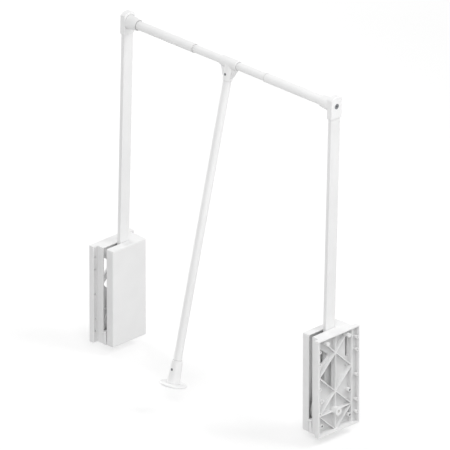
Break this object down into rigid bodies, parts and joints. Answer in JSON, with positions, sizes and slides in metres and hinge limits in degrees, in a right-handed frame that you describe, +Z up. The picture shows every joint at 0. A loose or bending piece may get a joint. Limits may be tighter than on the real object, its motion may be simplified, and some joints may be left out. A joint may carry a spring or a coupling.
{
  "type": "pull-down closet rod",
  "caption": "Wardrobe lift: sprung arms in wall housings carry a telescopic clothes rail that a long pull handle brings down to the front.",
  "frame": {"origin": "centre of the left housing's wall face, where its screw rows are centred", "axes": "+X along the rail to the right housing, +Y to the wardrobe's back, +Z up"},
  "size_m": [0.76, 0.2667, 0.837],
  "materials": {
    "moulded_base": "fine matt",
    "moulded_cover": "fine matt",
    "moulded_bracket": "satin",
    "moulded_foot": "satin",
    "stop_plastic": "satin",
    "bush_plastic": "satin",
    "buffer_rubber": "matt",
    "painted_arm": "powder coat",
    "painted_rail": "powder coat",
    "plated_steel": "zinc plated",
    "painted_drum": "powder coat",
    "dark_steel": "black zinc",
    "spring_steel": "oiled"
  },
  "bodies": {
    "left_housing": {"left_base": "moulded_base", "left_cover": "moulded_cover", "left_lower_stop": "stop_plastic", "left_rest_buffer": "buffer_rubber", "left_pivot_pin": "plated_steel", "left_retaining_ring": "spring_steel", "left_cover_screws": "dark_steel", "left_torsion_spring": "spring_steel"},
    "left_arm": {"left_arm_tube": "painted_arm", "left_spring_drum": "painted_drum", "left_arm_rivets": "plated_steel", "left_pivot_bush": "bush_plastic", "left_pivot_washer": "bush_plastic", "left_bracket": "moulded_bracket", "left_bracket_screw": "dark_steel", "left_tube_plug": "bush_plastic", "left_outer_tube": "painted_rail", "left_glide_bush": "bush_plastic"},
    "rail_centre": {"centre_tube": "painted_rail", "left_centre_plug": "bush_plastic", "right_centre_plug": "bush_plastic"},
    "handle": {"handle_tee": "moulded_bracket", "handle_tube": "painted_rail", "handle_foot": "moulded_foot", "handle_screws": "dark_steel"},
    "right_arm": {"right_arm_tube": "painted_arm", "right_spring_drum": "painted_drum", "right_arm_rivets": "plated_steel", "right_pivot_bush": "bush_plastic", "right_pivot_washer": "bush_plastic", "right_bracket": "moulded_bracket", "right_bracket_screw": "dark_steel", "right_tube_plug": "bush_plastic", "right_outer_tube": "painted_rail", "right_glide_bush": "bush_plastic"},
    "right_housing": {"right_base": "moulded_base", "right_cover": "moulded_cover", "right_lower_stop": "stop_plastic", "right_rest_buffer": "buffer_rubber", "right_pivot_pin": "plated_steel", "right_retaining_ring": "spring_steel", "right_cover_screws": "dark_steel", "right_torsion_spring": "spring_steel"}
  },
  "joints": [
    {"name": "lift", "type": "hinge", "parent": "left_housing", "child": "left_arm", "pos_m": [0.039, 0, -0.075], "axis": [1, 0, 0], "range_deg": [0, 91.65], "stiffness_Nm_per_rad": 5, "springref_deg": -51.57, "deforming": ["left_torsion_spring"]},
    {"name": "rail_left", "type": "slide", "parent": "left_arm", "child": "rail_centre", "axis": [1, 0, 0], "range_m": [-0.085, 0.025]},
    {"name": "rail_right", "type": "slide", "parent": "rail_centre", "child": "right_arm", "axis": [1, 0, 0], "range_m": [-0.085, 0.025]},
    {"name": "right_pivot", "type": "hinge", "parent": "right_arm", "child": "right_housing", "pos_m": [0.721, 0, -0.075], "axis": [1, 0, 0], "range_deg": [-91.65, 0], "stiffness_Nm_per_rad": 5, "springref_deg": 51.57, "deforming": ["right_torsion_spring"]},
    {"name": "handle_swing", "type": "hinge", "parent": "rail_centre", "child": "handle", "pos_m": [0.38, 0.02198, 0.68798], "axis": [1, 0, 0], "range_deg": [-120, 60]}
  ],
  "couplings": [
    {"joint": "right_pivot", "follows": "lift", "ratio": -1}
  ]
}
